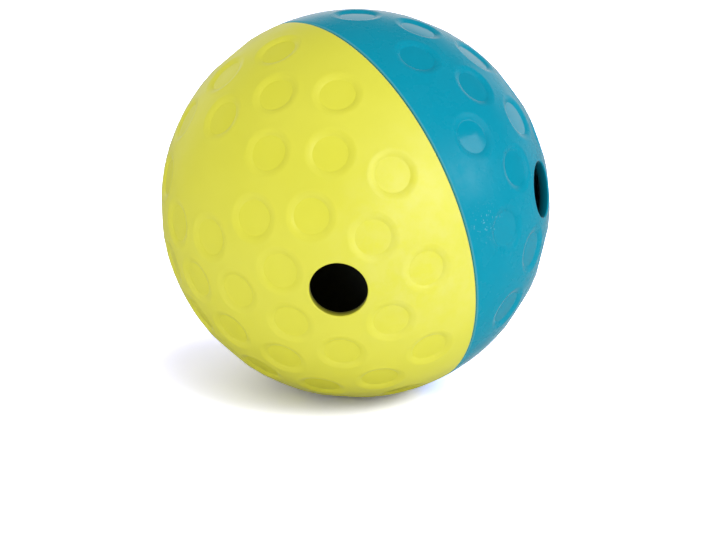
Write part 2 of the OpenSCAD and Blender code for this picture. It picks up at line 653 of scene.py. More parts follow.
        # The floors take the same painted highlight patch and dust specks.
        colour = g.blend(self._highlight_and_specks(g), self._plastic(g), self.highlight_and_dust_colour)
        shine = self._smeared(g, self.polished_roughness, self.floor_smear)
        relief = self._relief(g, self.floor_grain * self.grain_scale, self.floor_relief)
        shader = g.add(
            "BsdfPrincipled",
            {
                "Base Color": colour,
                "Roughness": shine,
                "Normal": relief,
                "IOR": self.ior,
                "Specular IOR Level": self.polished_specular,
            },
        )
        return g.shown(shader)

    def _plastic(self, g: Graph) -> Socket:
        """Clouds the plastic's colour very slightly, as a moulding's flow does."""
        noise = g.noise(self.cloud_scale, detail=3.0, rough=0.6)
        return g.blend(g.ramp(noise, *self.cloud_span), self.colour, self.shade)

    def _smeared(self, g: Graph, roughness: float, smear: Span) -> Socket:
        """Varies a roughness between its least and its most smear, as handling does."""
        noise = g.noise(self.wave_scale, detail=4.0, rough=0.6)
        return g.ramp(noise, *self.smear_span, *(roughness + part for part in smear))

    def _highlight_and_specks(self, g: Graph) -> Socket:
        """Draws a pale patch of painted highlight, where the lamp's gloss falls, and a group of
        fine pale dust specks.

        Args:
            g: The material's nodes.

        Returns:
            The socket of the marks' strength.
        """
        noise = g.noise(self.smoke_scale, detail=4.0, rough=0.62)
        smoke = g.ramp(noise, *self.smoke_span)
        patch = g.times(self._near(g, self.highlight_patch_at, self.highlight_patch_reach), smoke)
        noise = g.noise(self.speck_scale, detail=2.0, rough=0.6)
        dots = g.ramp(noise, *self.speck_span)
        specks = g.times(self._near(g, self.specks_at, self.speck_reach), dots)
        strength = self.speck_strength * self.highlight_patch
        return g.maths("ADD", g.times(patch, self.highlight_patch), g.times(specks, strength))

    def _near(self, g: Graph, middle: Place, reach: float) -> Socket:
        """Gives 1 at a place on the ball, fading to 0 at the distance of its reach."""
        away = g.add("VectorMath", {0: g.at, 1: middle}, operation="DISTANCE")
        return g.ramp(away.outputs["Value"], reach, self.near_share * reach)

    def _relief(self, g: Graph, grain_scale: float, strength: float = 1.0) -> Socket:
        """Adds the mould's fine grain over very shallow waves.

        Args:
            g: The material's nodes.
            grain_scale: Grains a metre.
            strength: Strength of both.

        Returns:
            The socket of the normal.
        """
        grain = g.noise(grain_scale, detail=1.0)
        swell = g.noise(self.wave_scale)
        waves = g.bumped(swell, self.wave_depth, self.wave_strength * strength)
        return g.bumped(grain, self.grain_depth, strength, waves)


@dataclass(frozen=True)
class MazeFinish:
    """Charcoal plastic of the ring and the maze, with fine grain and rubbed places.

    Attributes:
        name: Name of the material.
        colour: Colour of the plastic.
        rubbed: Colour where pieces have rubbed.
        roughness: Roughness of the plastic.
        rough_smear: The least and the most that its flow adds to the roughness.
        rough_span: Flow values between which the roughness changes.
        grain_scale: Grains a metre.
        grain_depth: Height of the grain.
        grain_strength: Strength of the grain.
        flow_scale: Bands of flow a metre.
        fine_scale: Fine marks a metre.
        worn_flow: Flow values between which rubbed places begin.
        worn_fine: Values of the fine marks between which they begin.
        ior: Index of refraction.
    """

    name: str
    colour: Colour
    rubbed: Colour
    roughness: float = 0.42
    rough_smear: Span = (-0.07, 0.1)
    rough_span: Span = (0.3, 0.7)
    grain_scale: float = 1900.0
    grain_depth: float = 0.02 * MM
    grain_strength: float = 0.7
    flow_scale: float = 45.0
    fine_scale: float = 630.0
    worn_flow: Span = (0.5, 0.75)
    worn_fine: Span = (0.5, 0.7)
    ior: float = 1.49

    def material(self) -> bpy.types.Material:
        """Builds the material.

        Returns:
            The finished material.
        """
        g = Graph(bpy.data.materials.new(self.name))
        flow = g.noise(self.flow_scale, detail=3.0, rough=0.6)
        fine = g.noise(self.fine_scale, detail=4.0, rough=0.7)
        worn = g.times(g.ramp(flow, *self.worn_flow), g.ramp(fine, *self.worn_fine))
        colour = g.blend(worn, self.colour, self.rubbed)
        span = (self.roughness + part for part in self.rough_smear)
        rough = g.ramp(flow, *self.rough_span, *span)
        grain = g.bumped(g.noise(self.grain_scale), self.grain_depth, self.grain_strength)
        shader = g.add(
            "BsdfPrincipled",
            {"Base Color": colour, "Roughness": rough, "Normal": grain, "IOR": self.ior},
        )
        return g.shown(shader)


@dataclass(frozen=True)
class DimpleRow:
    """One row of dimples round a half.

    Attributes:
        angle: Angle from the pole, in degrees.
        count: Places round the row.
        first: Place of the first dimple, in steps from the port's side.
        bare: Places without a dimple.
    """

    angle: float
    count: int
    first: float = 0.0
    bare: tuple[int, ...] = ()

    def centres(self) -> np.ndarray:
        """Gives the directions of the row's dimples.

        Returns:
            One unit vector a row.
        """
        places = np.array([i for i in range(self.count) if i not in self.bare])
        rounds = (places + self.first) * math.tau / self.count
        return directions(np.radians(self.angle), rounds)


@dataclass(frozen=True)
class Dimples:
    """The dimples of one half.

    Attributes:
        floor_r: Radius of a dimple's floor.
        lip_r: Radius at which its rounded lip meets the ball.
        depth: Depth of the floor's edge.
        rounding: How much steeper the lip is at the floor than farther out.
        dish: How far the floor's middle lies below a floor that follows the ball.
        swell: Height of the slight swelling round the lip.
        swell_r: Radius of its crest.
        swell_reach: How far it reaches to each side.
        points_round: Points in a ring.
        floor_rings: Radii of the rings on the floor, as shares of its radius.
        lip_rings: Count of rings across the lip.
        lip_crowding: How much closer those rings lie towards the floor.
        rows: The rows from the rim to the pole.
    """

    floor_r: float = 5.7 * MM
    lip_r: float = 8.6 * MM
    depth: float = 0.85 * MM
    rounding: float = 2.4
    dish: float = 0.08 * MM
    swell: float = 0.055 * MM
    swell_r: float = 8.0 * MM
    swell_reach: float = 1.1 * MM
    points_round: int = 44
    floor_rings: tuple[float, ...] = (0.4, 0.75, 0.95)
    lip_rings: int = 12
    lip_crowding: float = 1.4
    rows: tuple[DimpleRow, ...] = (
        DimpleRow(75.5, 12),
        DimpleRow(63.3, 12, 0.5),
        DimpleRow(49.6, 12, 0.0, (0,)),
        DimpleRow(34.2, 12, 0.5 - PANEL_TURN, (2, 3)),
        DimpleRow(17.6, 6),
        DimpleRow(0.0, 1),
    )

    def centres(self) -> np.ndarray:
        """Gives the directions of all the dimples, one a row."""
        return np.concatenate([row.centres() for row in self.rows])

    def ring_radii(self) -> np.ndarray:
        """Gives the radii of the rings of points round a dimple's middle.

        Returns:
            The radii, the smallest first.
        """
        floor = self.floor_r * np.array(self.floor_rings)
        across = np.linspace(0.0, 1.0, self.lip_rings) ** self.lip_crowding
        lip = self.floor_r + (self.lip_r - self.floor_r) * across
        return np.concatenate([floor, lip, [self.swell_r + self.swell_reach]])

    def sunk(self, away: np.ndarray) -> np.ndarray:
        """Gives the depth of the surface.

        Args:
            away: Distances from the dimple's middle.

        Returns:
            The depth at each distance.
        """
        out = np.clip((away - self.floor_r) / (self.lip_r - self.floor_r), 0.0, 1.0)
        bowl = np.clip(1.0 - (away / self.floor_r) ** 2, 0.0, 1.0)
        crest = np.clip(1.0 - ((away - self.swell_r) / self.swell_reach) ** 2, 0.0, 1.0) ** 2
        return self.depth * (1.0 - out) ** self.rounding + self.dish * bowl - self.swell * crest


@dataclass(frozen=True)
class HalfShell:
    """One moulded half of the ball.

    Attributes:
        half: Which half it is.
        place: The ball's axes.
        finish: The plastic's finish.
        ball_r: Outside radius of the ball.
        wall: Thickness of the dome.
        seam_gap: Gap between the two halves.
        rim_t: Thickness of the rim.
        rim_round: Rounding of the rim's outer edge.
        inner_round: Rounding of the inner edges.
        ring_h: Height of the joining ring, of which each half takes one half.
        ledge_w: Width of the ledge that stops the ring.
        ledge_t: Thickness of the ledge.
        keyway_r: Radius of the bottoms of the two keyways.
        keyway_w: Width of a keyway.
        port_angle: Angle from the pole to the port, in degrees.
        port_r: Radius of the port.
        port_round: Rounding of its mouth.
        port_shade_start: How deep the port's painted shade is just below its mouth, from 0 to 1.
        socket_r: Outside radius of the pole socket.
        socket_bore_r: Radius of its bore.
        socket_h: Its height.
        dimples: The dimples.
        rim_points: Points in a ring about the ball's axis.
        port_points: Points in a ring about the port's axis.
        socket_points: Points in a ring of the pole socket.
        key_points: Ring points from a keyway's middle to its corner.
        edge_steps: Facets across the roundings of the rim and of the port's mouth.
        lip_steps: Facets across the rounding at the port's inner end.
        rim_wear_and_highlight: How pale each ring of the rim's rounding is, as rubbed wear and
            painted highlight.
        rim_guards: Distances of the extra rings beside the rim.
        port_guards: Distances of the extra rings beside the port.
        skin_step: Distance between the points spread over the outside.
        rim_free: How far from the rim they begin.
        port_free: How far from the port they begin.
        dimple_free: How far from a dimple they begin, as a share of their distance.
        inner_step: Distance between the points spread over the inside.
        inner_free: How far from the rim, the port and the socket they begin.
    """

    half: Half
    place: BallFrame
    finish: ShellFinish
    ball_r: float = 62.44 * MM
    wall: float = 3.0 * MM
    seam_gap: float = 0.2 * MM
    rim_t: float = 5.0 * MM
    rim_round: float = 0.7 * MM
    inner_round: float = 0.3 * MM
    ring_h: float = 16.0 * MM
    ledge_w: float = 2.0 * MM
    ledge_t: float = 2.0 * MM
    keyway_r: float = 58.75 * MM
    keyway_w: float = 4.3 * MM
    port_angle: float = 49.6
    port_r: float = 9.0 * MM
    port_round: float = 0.4 * MM
    port_shade_start: float = 0.5
    socket_r: float = 8.85 * MM
    socket_bore_r: float = 6.85 * MM
    socket_h: float = 7.0 * MM
    dimples: Dimples = field(default_factory=Dimples)
    rim_points: int = 360
    port_points: int = 96
    socket_points: int = 72
    key_points: int = 2
    edge_steps: int = 5
    lip_steps: int = 3
    rim_wear_and_highlight: tuple[float, ...] = (0.6, 1.0, 0.8, 0.3, 0.0)
    rim_guards: tuple[float, ...] = (0.25 * MM, 0.8 * MM)
    port_guards: tuple[float, ...] = (0.2 * MM, 0.6 * MM, 1.4 * MM)
    skin_step: float = 1.8 * MM
    rim_free: float = 1.6 * MM
    port_free: float = 2.4 * MM
    dimple_free: float = 0.55
    inner_step: float = 3.0 * MM
    inner_free: float = 1.5 * MM

    @property
    def inner_r(self) -> float:
        """Radius of the inside of the dome."""
        return self.ball_r - self.wall

    @property
    def grip_r(self) -> float:
        """Radius of the rim's bore."""
        return self.ball_r - self.rim_t

    @property
    def rim_z(self) -> float:
        """Height of the rim's face above the seam."""
        return self.seam_gap / 2

    @property
    def port_axis(self) -> np.ndarray:
        """Direction of the port in the half's own axes."""
        return directions(math.radians(self.port_angle), 0.0)

    def build(self) -> bpy.types.Object:
        """Builds and dresses the shell.

        Returns:
            The shell, riding on its half's body in place of the CAD shell.
        """
        skin = Skin()
        outer_rim, outer_port = self._outer_face(skin)
        taper = self._rim(skin, outer_rim)
        inner_port = self._port(skin, outer_port)
        self._inner_face(skin, taper, inner_port)
        piece = skin.mesh(f"{self.half.value}_shell_skin", self.place.turn(self.half))
        piece.data.materials.append(self.finish.skin())
        piece.data.materials.append(self.finish.polished())
        self._polish(piece.data)
        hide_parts(f"{self.half.value}_shell")
        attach(piece, self.half.body)
        return piece

    def _polish(self, data: bpy.types.Mesh) -> None:
        """Gives the dimples' floors their own finish.

        Args:
            data: The shell's mesh, whose second material is the polished one.
        """
        middles = np.empty(3 * len(data.polygons), dtype=np.float32)
        data.polygons.foreach_get("center", middles)
        middles = middles.reshape(-1, 3) @ self.place.turn(self.half)
        height = np.linalg.norm(middles, axis=1)
        away = angles_between(unit(middles), self.dimples.centres()).min(axis=1) * self.ball_r
        is_floor = (away < self.dimples.floor_r) & (height > self.ball_r - self.wall / 2)
        data.polygons.foreach_set("material_index", is_floor.astype(np.int32))

    def _rounds(self, shift: float = 0.0) -> np.ndarray:
        """Gives the angles round the axis of a rim ring's points."""
        return around(self.rim_points, shift)

    def _latitude_ring(self, radius: float, height: float) -> np.ndarray:
        """Gives a rim ring of a radius at a height above the seam, one point a row."""
        return circle(radius, self._rounds(), height)

    def _port_ring(self, radius: float, height: float) -> np.ndarray:
        """Gives a ring about the port's axis, at a height above the ball's centre."""
        local = circle(radius, around(self.port_points), height)
        return local @ aimed(self.port_axis).T

    def _lattice(self, step: float, radius: float, last: float) -> np.ndarray:
        """Spreads directions evenly over the dome.

        Args:
            step: Distance between neighbours.
            radius: Radius of the sphere that they lie on.
            last: Angle from the pole at which they stop, in radians.

        Returns:
            One unit vector a row.
        """
        rows = max(2, round(last * radius / step))
        made = []
        for row in range(rows):
            angle = (row + 0.5) * last / rows
            count = max(3, round(math.tau * math.sin(angle) * radius / step))
            made.append(directions(angle, around(count, 0.5 * (row % 2))))
        return np.concatenate(made)

    def _outer_face(self, skin: Skin) -> tuple[np.ndarray, np.ndarray]:
        """Lays the dimpled outside.

        Args:
            skin: The shell's mesh.

        Returns:
            The numbers of the rings at the rim and at the port.
        """
        centres = self.dimples.centres()
        rim_angle = math.acos((self.rim_z + self.rim_round) / (self.ball_r - self.rim_round))
        port_edge = math.asin((self.port_r + self.port_round) / (self.ball_r - self.port_round))
        port_turn = aimed(self.port_axis).T
        turns = around(self.port_points)
        rim = directions(rim_angle, self._rounds())
        port = directions(port_edge, turns) @ port_turn
        rim_guards = [
            directions(rim_angle - off / self.ball_r, self._rounds(0.5)) for off in self.rim_guards
        ]
        port_guards = [
            directions(port_edge + off / self.ball_r, turns) @ port_turn for off in self.port_guards
        ]
        radii = self.dimples.ring_radii()
        dimple_turns = around(self.dimples.points_round)
        pit = np.concatenate([[POLE], *(directions(r / self.ball_r, dimple_turns) for r in radii)])
        pits = np.concatenate([pit @ aimed(centre).T for centre in centres])
        free = self._lattice(self.skin_step, self.ball_r, rim_angle - self.rim_free / self.ball_r)
        clear = (radii[-1] + self.dimple_free * self.skin_step) / self.ball_r
        off_dimples = angles_between(free, centres).min(axis=1) > clear
        port_clear = port_edge + self.port_free / self.ball_r
        free = free[off_dimples & (angles_between(free, self.port_axis) > port_clear)]
        way = np.concatenate([rim, port, *rim_guards, *port_guards, pits, free])
        away = angles_between(way, centres).min(axis=1) * self.ball_r
        radius = self.ball_r - self.dimples.sunk(away)
        numbers = skin.add(way * radius[:, None])
        self._drape(skin, way, numbers, [(self.port_axis, port_edge)])
        return numbers[: len(rim)], numbers[len(rim) : len(rim) + len(port)]

    def _drape(
        self,
        skin: Skin,
        way: np.ndarray,
        numbers: np.ndarray,
        openings: Sequence[tuple[np.ndarray, float]],
    ) -> None:
        """Joins points over the dome with triangles.

        Args:
            skin: The shell's mesh.
            way: Unit vectors towards the points.
            numbers: The points' numbers.
            openings: The axis and half angle of each round opening.
        """
        flat = way[:, :2] / (1.0 + way[:, 2:3])

        def is_open(triangles: np.ndarray) -> np.ndarray:
            """Says which triangles have their middle in an opening.

            Args:
                triangles: Rows of three point numbers.

            Returns:
                One truth value a triangle.
            """
            middle = unit(way[triangles].mean(axis=1))
            inside = [middle @ axis > math.cos(angle) for axis, angle in openings]
            return np.any(inside, axis=0)

        skin.fill(flat, numbers, is_open)

    def _rim(self, skin: Skin, start: np.ndarray) -> np.ndarray:
        """Turns the rounded rim, its bore, the ledge and the taper.

        Args:
            skin: The shell's mesh.
            start: Numbers of the outside's last ring.

        Returns:
            Numbers of the ring where the taper meets the dome.
        """
        r, z = self.rim_round, self.rim_z
        height = z + r
        across = half_chord(self.ball_r - r, height)
        slope = math.atan2(height, across)
        edge = arc((across, height), r, slope, -math.pi / 2, self.edge_steps)[1:]
        rings = [start]
        # The rim's rounding is paled ring by ring: rubbed wear and painted highlight.
        for point, wear in zip(edge, self.rim_wear_and_highlight):
            rings.append(skin.add(self._latitude_ring(*point), edge=wear))
        lip = self.inner_round
        for add, level in rounded_corner(0.0, z, lip, lip):
            rings.append(skin.add(self._band_ring(add, level)))
        ledge_z = self.ring_h / 2
        rings.append(skin.add(self._band_ring(0.0, ledge_z), inside=1.0))
        ledge_r = self.grip_r - self.ledge_w
        ledge_top = ledge_z + self.ledge_t
        taper_r, taper_z = self._taper_end(ledge_r, ledge_top)
        for radius, level in (
            (ledge_r + lip, ledge_z),
            (ledge_r, ledge_z + lip),
            (ledge_r, ledge_top),
            (taper_r, taper_z),
        ):
            rings.append(skin.add(self._latitude_ring(radius, level), inside=1.0))
        skin.loft(rings)
        return rings[-1]

    def _taper_end(self, ledge_r: float, ledge_top: float) -> tuple[float, float]:
        """Finds where the taper above the ledge meets the inside of the dome.

        Args:
            ledge_r: Radius of the ledge.
            ledge_top: Height of its top.

        Returns:
            The radius and height of the meeting ring.
        """
        top = ledge_top + 2 * self.ledge_w
        start = np.array([ledge_r, ledge_top])
        run = np.array([half_chord(self.ball_r - self.wall / 2, top), top]) - start
        a, b = run @ run, 2 * start @ run
        c = start @ start - self.inner_r**2
        share = (-b + math.sqrt(b * b - 4 * a * c)) / (2 * a)
        met = start + share * run
        return float(met[0]), float(met[1])

    def _band_ring(self, add: float, height: float) -> np.ndarray:
        """Gives a ring round the rim's bore and its two keyways.

        Args:
            add: How much wider than the bore the ring is.
            height: Height of the ring above the seam.

        Returns:
            One point a row.
        """
        step = math.tau / self.rim_points
        rounds = self._rounds()
        radius = np.full_like(rounds, self.grip_r + add)
        for key in (0.0, math.pi):
            off = (rounds - key + math.pi) % math.tau - math.pi
            places = np.abs(np.round(off / step).astype(int))
            in_key, at_corner = places <= self.key_points, places == self.key_points
            beside = places == self.key_points + 1
            half_width = self.keyway_w / 2 + add
            radius[in_key] = self.keyway_r + add
            corner = math.asin(half_width / (self.keyway_r + add))
            rounds[in_key] = key + np.clip(off[in_key], -corner, corner)
            mouth = math.asin(half_width / (self.grip_r + add))
            rounds[beside] = key + np.sign(off[beside]) * mouth
            rounds[at_corner] = key + np.sign(off[at_corner]) * corner
        return circle(radius, rounds, height)

    def _port(self, skin: Skin, start: np.ndarray) -> np.ndarray:
        """Lines the port from its rounded mouth to the inside.

        Args:
            skin: The shell's mesh.
            start: Numbers of the ring at the outside.

        Returns:
            Numbers of the ring at the inside.
        """
        r, lip = self.port_round, self.inner_round
        out_r, in_r = self.port_r + r, self.port_r + lip
        out_h = half_chord(self.ball_r - r, out_r)
        in_h = half_chord(self.inner_r + lip, in_r)
        mouth = arc((out_r, out_h), r, math.atan2(out_h, out_r), math.pi, self.edge_steps)[1:]
        inner_end = math.pi + math.atan2(in_h, in_r)
        tail = arc((in_r, in_h), lip, math.pi, inner_end, self.lip_steps)
        rings = [start]
        rings += [skin.add(self._port_ring(*p)) for p in mouth[:-1]]
        # From the port's mouth inwards the rings take painted shade.
        rings.append(skin.add(self._port_ring(*mouth[-1]), bore=self.port_shade_start))
        rings += [skin.add(self._port_ring(*p), inside=1.0, bore=1.0) for p in tail]
        skin.loft(rings)
        return rings[-1]

    def _inner_face(self, skin: Skin, taper: np.ndarray, port: np.ndarray) -> None:
        """Lays the inside of the dome and its pole socket.

        Args:
            skin: The shell's mesh.
            taper: Numbers of the ring where the taper ends.
            port: Numbers of the port's inside ring.
        """
        points = np.concatenate(skin.blocks)
        turns = around(self.socket_points)
        foot = math.asin(self.socket_r / self.inner_r)
        last = math.acos(points[taper[0]][2] / self.inner_r)
        port_edge = math.acos(float(unit(points[port[0]]) @ self.port_axis))
        gap = self.inner_free / self.inner_r
        free = self._lattice(self.inner_step, self.inner_r, last - gap)
        off_socket = angles_between(free, POLE) > foot + gap
        free = free[off_socket & (angles_between(free, self.port_axis) > port_edge + gap)]
        foot_way = directions(foot, turns)
        foot_ring = skin.add(foot_way * self.inner_r, inside=1.0)
        spread = skin.add(free * self.inner_r, inside=1.0)
        way = np.concatenate([unit(points[taper]), unit(points[port]), foot_way, free])
        numbers = np.concatenate([taper, port, foot_ring, spread])
        self._drape(skin, way, numbers, [(self.port_axis, port_edge), (POLE, foot)])
        self._socket(skin, foot_ring, turns)

    def _socket(self, skin: Skin, foot_ring: np.ndarray, turns: np.ndarray) -> None:
        """Raises the socket at the pole.

        Args:
            skin: The shell's mesh.
            foot_ring: Numbers of the ring at its foot.
            turns: Angles round the pole of each ring's points.
        """
        low, lip = self.inner_r - self.socket_h, self.inner_round
        root = math.asin(self.socket_bore_r / self.inner_r)
        rings = [foot_ring]
        for radius, level in (
            *reversed(rounded_corner(self.socket_r, low, -lip, lip)),
            *rounded_corner(self.socket_bore_r, low, lip, lip),
            (self.socket_bore_r, self.inner_r * math.cos(root)),
        ):
            rings.append(skin.add(circle(radius, turns, level), inside=1.0))
        skin.loft(rings)
        skin.close(rings[-1], self.inner_r, inside=1.0)


@dataclass(frozen=True)
class MazeCore:
    """The keyed ring, the post and the plates that stay together when the ball opens.

    Attributes:
        place: The ball's axes.
        finish: The plastic's finish.
        ball_r: Outside radius of the ball.
        wall: Thickness of its dome.
        ring_r: Outside radius of the joining ring.
        ring_h: Height of the ring.
        ring_t: Thickness of the ring.
        key_w: Width of a key.
        key_h: How far a key stands out.
        lip_w: Width of the lip that carries the middle plate.
        lip_t: Thickness of the lip.
        plate_t: Thickness of the plates and the vanes.
        baffle_at: Height of a baffle's middle above the seam.
        baffle_gap: Gap round a baffle and beyond a vane.
        window_r: Radius of the windows.
        window_at: Distance of a window's middle from the axis.
        post_r: Radius of the post.
        post_fit: Gap round the post, the middle plate and the spacers.
        tube_t: Thickness of the spacers and the sleeves.
        sleeve_end_t: Thickness of a sleeve's closed end.
        socket_gap: Gap beyond a sleeve's end.
        edge: Rounding of the edges.
        turns: Points in a ring of a wide piece.
        rod_points: Points in a ring of the post and the sleeves.
        window_points: Points in a ring of a window.
        hole_points: Points in a ring of the hole for the post.
    """

    place: BallFrame
    finish: MazeFinish
    ball_r: float = 62.5 * MM
    wall: float = 3.0 * MM
    ring_r: float = 57.4 * MM
    ring_h: float = 16.0 * MM
    ring_t: float = 2.4 * MM
    key_w: float = 4.0 * MM
    key_h: float = 1.2 * MM
    lip_w: float = 2.0 * MM
    lip_t: float = 2.0 * MM
    plate_t: float = 2.5 * MM
    baffle_at: float = 26.0 * MM
    baffle_gap: float = 0.4 * MM
    window_r: float = 13.0 * MM
    window_at: float = 34.0 * MM
    post_r: float = 4.0 * MM
    post_fit: float = 0.05 * MM
    tube_t: float = 2.5 * MM
    sleeve_end_t: float = 3.0 * MM
    socket_gap: float = 0.3 * MM
    edge: float = 0.4 * MM
    turns: int = 180
    rod_points: int = 72
    window_points: int = 96
    hole_points: int = 48

    @property
    def ring_bore_r(self) -> float:
        """Radius of the ring's bore."""
        return self.ring_r - self.ring_t

    @property
    def baffle_low(self) -> float:
        """Height of a baffle's face towards the seam."""
        return self.baffle_at - self.plate_t / 2

    @property
    def baffle_top(self) -> float:
        """Height of a baffle's face towards the pole."""
        return self.baffle_at + self.plate_t / 2

    @property
    def baffle_r(self) -> float:
        """Radius of a baffle."""
        return half_chord(self.ball_r - self.wall, self.baffle_top) - self.baffle_gap

    @property
    def bore_r(self) -> float:
        """Radius of the holes on the post."""
        return self.post_r + self.post_fit

    @property
    def tube_r(self) -> float:
        """Outside radius of the spacers and sleeves."""
        return self.bore_r + self.tube_t

    @property
    def sleeve_end(self) -> float:
        """Height of a sleeve's closed end."""
        return half_chord(self.ball_r - self.wall, self.tube_r) - self.socket_gap

    def build(self) -> list[bpy.types.Object]:
        """Builds and dresses the ring and the maze.

        Returns:
            The pieces, all riding on the maze's body.
        """
        material = self.finish.material()
        middle_plate_r = self.ring_bore_r - self.post_fit
        made = [
            (self._ring(), Half.TEAL, "joining_ring"),
            (self._plate(middle_plate_r, 0.0, Side.PORT), Half.TEAL, "middle_plate"),
            (self._post(), Half.TEAL, "centre_post"),
        ]
        for half in Half:
            pieces = {
                "baffle": self._plate(self.baffle_r, self.baffle_at, Side.FAR),
                "spacer": self._spacer(),
                "vane": self._vane(),
                "sleeve": self._sleeve(),
            }
            made += [(skin, half, f"{half.value}_{kind}") for kind, skin in pieces.items()]
        return [self._dress(skin, half, node, material) for skin, half, node in made]

    def _dress(
        self, skin: Skin, half: Half, node: str, material: bpy.types.Material
    ) -> bpy.types.Object:
        """Places one piece in its node's stead.

        Args:
            skin: The piece's mesh in its half's own axes.
            half: The half whose axes they are.
            node: The CAD node that it replaces.
            material: Its material.

        Returns:
            The piece.
        """
        piece = skin.mesh(f"{node}_skin", self.place.turn(half))
        piece.data.materials.append(material)
        weighted(piece)
        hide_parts(node)
        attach(piece, "maze")
        return piece

    def _lathe(self, outline: Outline, widen: Callable[[float], np.ndarray] | None = None) -> Skin:
        """Turns a closed outline about the axis.

        Args:
            outline: Radius and height of each point of the outline.
            widen: Gives how much further out each point of a ring lies, by the ring's radius.

        Returns:
            The turned skin.
        """
        skin = Skin()
        rounds = around(self.turns)
        rings = []
        for radius, height in outline:
            reach = radius + (widen(radius) if widen else 0.0)
            rings.append(skin.add(circle(reach, rounds, height)))
        skin.loft([*rings, rings[0]])
        return skin

    def _turned_rod(self, outline: Outline) -> Skin:
        """Turns an open outline whose two ends close on the axis.

        Args:
            outline: Radius and height of each point, from one end to the other.

        Returns:
            The turned skin.
        """
        skin = Skin()
        rounds = around(self.rod_points)
        rings = [skin.add(circle(radius, rounds, height)) for radius, height in outline]
        skin.loft(rings)
        skin.close(rings[0], outline[0][1])
        skin.close(rings[-1], outline[-1][1])
        return skin

    def _ring(self) -> Skin:
        """Turns the joining ring with its lip and its two keys.

        Returns:
            The ring's skin.
        """
        half_h, top = self.ring_h / 2, self.plate_t / 2
        lip_r = self.ring_bore_r - self.lip_w
        corners = [
            (self.ring_r, -half_h),
            (self.ring_r, half_h),
            (self.ring_bore_r, half_h),
            (self.ring_bore_r, -top),
            (lip_r, -top),
            (lip_r, -top - self.lip_t),
            (self.ring_bore_r, -top - self.lip_t),
            (self.ring_bore_r, -half_h),
        ]
        reach = math.asin(self.key_w / 2 / self.ring_r)
        near = np.abs((around(self.turns) + math.pi / 2) % math.pi - math.pi / 2) < reach

        def widen(radius: float) -> np.ndarray:
            """Raises the keys where a ring lies on the outside."""
            return np.where(near & (radius > self.ring_r - 2 * self.edge), self.key_h, 0.0)

        return self._lathe(rounded(corners, self.edge), widen)

    def _tube(self, low: float, top: float) -> Skin:
        """Turns a tube on the post."""
        corners = [(self.tube_r, low), (self.tube_r, top), (self.bore_r, top), (self.bore_r, low)]
        return self._lathe(rounded(corners, self.edge))

    def _spacer(self) -> Skin:
        """Turns the tube between the middle plate and a baffle."""
        return self._tube(self.plate_t / 2, self.baffle_low)

    def _post(self) -> Skin:
        """Turns the post.

        Returns:
            The post's skin.
        """
        end = self.sleeve_end - self.sleeve_end_t
        return self._turned_rod([
            *rounded_corner(self.post_r, -end, -self.edge, self.edge),
            *reversed(rounded_corner(self.post_r, end, -self.edge, -self.edge)),
        ])

    def _sleeve(self) -> Skin:
        """Turns the blind sleeve on the post's end.

        Returns:
            The sleeve's skin.
        """
        low, top, end = self.baffle_top, self.sleeve_end, self.sleeve_end - self.sleeve_end_t
        r, b, e = self.tube_r, self.bore_r, self.edge
        return self._turned_rod([
            (b - e, end),
            (b, end - e),
            (b, low + e),
            (b + e, low),
            (r - e, low),
            (r, low + e),
            *reversed(rounded_corner(r, top, -2 * e, -2 * e)),
        ])

    def _vane(self) -> Skin:
        """Shapes the wall across the inner chamber.

        Returns:
            The vane's skin.
        """
        start = self.tube_r + self.post_fit
        end = min(self.baffle_r, self.ring_bore_r - self.lip_w) - self.baffle_gap
        low, top, half_t = self.plate_t / 2, self.baffle_low, self.plate_t / 2
        corners = [(-half_t, start), (half_t, start), (half_t, end), (-half_t, end)]
        flat = np.array(rounded(corners, self.edge))
        middle = np.array([0.0, (start + end) / 2])
        half_size = np.array([half_t, (end - start) / 2])
        skin = Skin()
        rings = []
        for level, shrink in (
            (low, self.edge),
            (low + self.edge, 0.0),
            (top - self.edge, 0.0),
            (top, self.edge),
        ):
            shrunk = middle + (flat - middle) * (1.0 - shrink / half_size)
            rings.append(skin.add(np.column_stack([shrunk, np.full(len(flat), level)])))
        skin.loft(rings)
        skin.faces.extend(tuple(ring.tolist()) for ring in (rings[0], rings[-1]))
        return skin

    def _plate(self, radius: float, middle: float, side: Side) -> Skin:
        """Shapes a round plate with a window and the post's hole.

        Args:
            radius: Radius of the plate.
            middle: Height of the plate's middle.
            side: Where its window lies.

        Returns:
            The plate's skin.
        """
        skin = Skin()
        axis, window = np.zeros(2), np.array([side.value * self.window_at, 0.0])
        half_t, e = self.plate_t / 2, self.edge
        profile = [
            *rounded_corner(0.0, half_t, e, -e),
            *reversed(rounded_corner(0.0, -half_t, e, e)),
        ]
        tops: list[np.ndarray] = []
        bottoms: list[np.ndarray] = []
        for centre, size, grow, count in (
            (axis, radius, -1.0, self.turns),
            (window, self.window_r, 1.0, self.window_points),
            (axis, self.bore_r, 1.0, self.hole_points),
        ):
            rings = []
            for widen, level in profile:
                ring = circle(size + grow * widen, around(count), middle + level)
                rings.append(skin.add(ring + [*centre, 0.0]))
            skin.loft(rings)
            tops.append(rings[0])
            bottoms.append(rings[-1])
        for loops in (tops, bottoms):
            numbers = np.concatenate(loops)
            flat = np.concatenate(skin.blocks)[numbers][:, :2]

            def is_open(triangles: np.ndarray, flat: np.ndarray = flat) -> np.ndarray:
                """Says which triangles lie in the window or the hole.

                Args:
                    triangles: Rows of three point numbers.
                    flat: Where each point lies on the plate.

                Returns:
                    One truth value a triangle.
                """
                at = flat[triangles].mean(axis=1)
                in_window = np.linalg.norm(at - window, axis=1) < self.window_r
                return in_window | (np.linalg.norm(at, axis=1) < self.bore_r)

            skin.fill(flat, numbers, is_open)
        return skin


